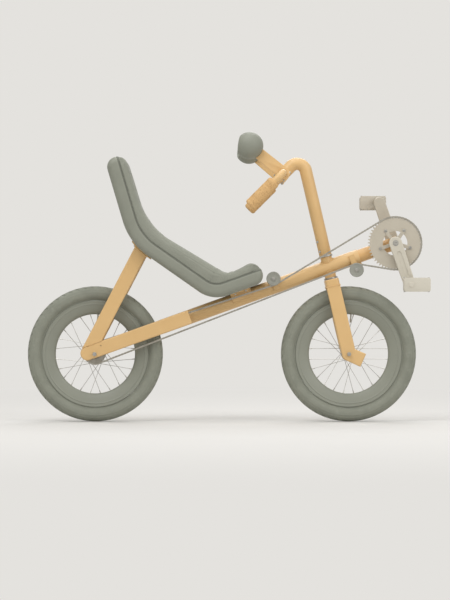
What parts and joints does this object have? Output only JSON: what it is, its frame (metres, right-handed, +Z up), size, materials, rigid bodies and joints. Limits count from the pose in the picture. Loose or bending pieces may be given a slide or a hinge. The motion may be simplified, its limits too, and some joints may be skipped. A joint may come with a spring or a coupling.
{
  "type": "recumbent bicycle",
  "caption": "Short wheelbase recumbent bicycle with a sloping main tube, padded bucket seat, over-seat handlebar, boom-mounted crank and disc-deep rims.",
  "frame": {"origin": "the lowest sitting point of the seat, on the plane of symmetry", "axes": "+X forward, +Y to the rider's left, +Z up"},
  "size_m": [1.5993, 0.576, 1.1463],
  "materials": {
    "frame_paint": "satin paint, pale orange tan",
    "bar_paint": "satin paint, pale orange tan",
    "grip_cork": "fine cork and rubber mix",
    "bearing_steel": "satin",
    "seat_shell": "moulded, olive grey",
    "seat_fabric": "spacer fabric over foam, olive grey",
    "idler_plastic": "smooth",
    "chain_steel": "nickel plated, oiled",
    "tyre_rubber": "matt olive grey rubber",
    "rim_paint": "powder coat, olive grey",
    "hub_alloy": "satin",
    "sprocket_steel": "satin",
    "ring_alloy": "beige anodised, satin",
    "crank_alloy": "light beige anodised, satin",
    "pedal_near": "glass filled, light beige",
    "pedal_far": "glass filled, beige",
    "mirror_housing": "moulded, olive grey",
    "mirror_face": "convex mirror glass"
  },
  "bodies": {
    "frame": {"main_tube": "frame_paint", "head_tube": "frame_paint", "headset_cups": "bearing_steel", "boom": "frame_paint", "bearing_cups": "bearing_steel", "cross_tubes": "frame_paint", "arm_left": "frame_paint", "arm_right": "frame_paint", "strut_left": "frame_paint", "strut_right": "frame_paint", "strut_bridge": "frame_paint", "seat_bracket": "frame_paint", "seat_saddle": "frame_paint", "seat_shell": "seat_shell", "seat_pad": "seat_fabric", "rear_axle": "bearing_steel", "brake_arm": "bearing_steel", "idler_brackets": "frame_paint", "power_idler": "idler_plastic", "return_idler": "idler_plastic", "chain": "chain_steel"},
    "steering": {"steerer": "bearing_steel", "fork_crown": "frame_paint", "fork_blade_left": "frame_paint", "fork_blade_right": "frame_paint", "front_axle": "bearing_steel", "riser": "frame_paint", "handlebar": "bar_paint", "grip_left": "grip_cork", "grip_right": "grip_cork", "mirror_arm_left": "frame_paint", "mirror_arm_right": "frame_paint", "mirror_left": "mirror_housing", "mirror_right": "mirror_housing", "mirror_glass_left": "mirror_face", "mirror_glass_right": "mirror_face"},
    "front_wheel": {"front_tyre": "tyre_rubber", "front_rim": "rim_paint", "front_hub": "hub_alloy"},
    "rear_wheel": {"rear_tyre": "tyre_rubber", "rear_rim": "rim_paint", "rear_hub": "hub_alloy", "rear_sprocket": "sprocket_steel"},
    "crank": {"crank_spindle": "bearing_steel", "crank_left": "ring_alloy", "crank_right": "crank_alloy", "chainring": "ring_alloy", "pedal_spindles": "bearing_steel"},
    "pedal_left": {"pedal_left": "pedal_far"},
    "pedal_right": {"pedal_right": "pedal_near"}
  },
  "joints": [
    {"name": "steer", "type": "hinge", "parent": "frame", "child": "steering", "pos_m": [0.48167, 0, -0.32509], "axis": [-0.2267, 0, 0.974], "range_deg": [-30, 30]},
    {"name": "front_wheel_spin", "type": "hinge", "parent": "steering", "child": "front_wheel", "pos_m": [0.48167, 0, -0.32509], "axis": [0, 1, 0], "continuous": true},
    {"name": "rear_wheel_spin", "type": "hinge", "parent": "frame", "child": "rear_wheel", "pos_m": [-0.53033, 0, -0.32509], "axis": [0, 1, 0], "continuous": true},
    {"name": "crank_spin", "type": "hinge", "parent": "frame", "child": "crank", "pos_m": [0.666, 0, 0.116], "axis": [0, 1, 0], "continuous": true},
    {"name": "pedal_left_spin", "type": "hinge", "parent": "crank", "child": "pedal_left", "pos_m": [0.60903, 0.13, 0.28147], "axis": [0, 1, 0], "continuous": true},
    {"name": "pedal_right_spin", "type": "hinge", "parent": "crank", "child": "pedal_right", "pos_m": [0.72297, -0.13, -0.04947], "axis": [0, 1, 0], "continuous": true}
  ]
}
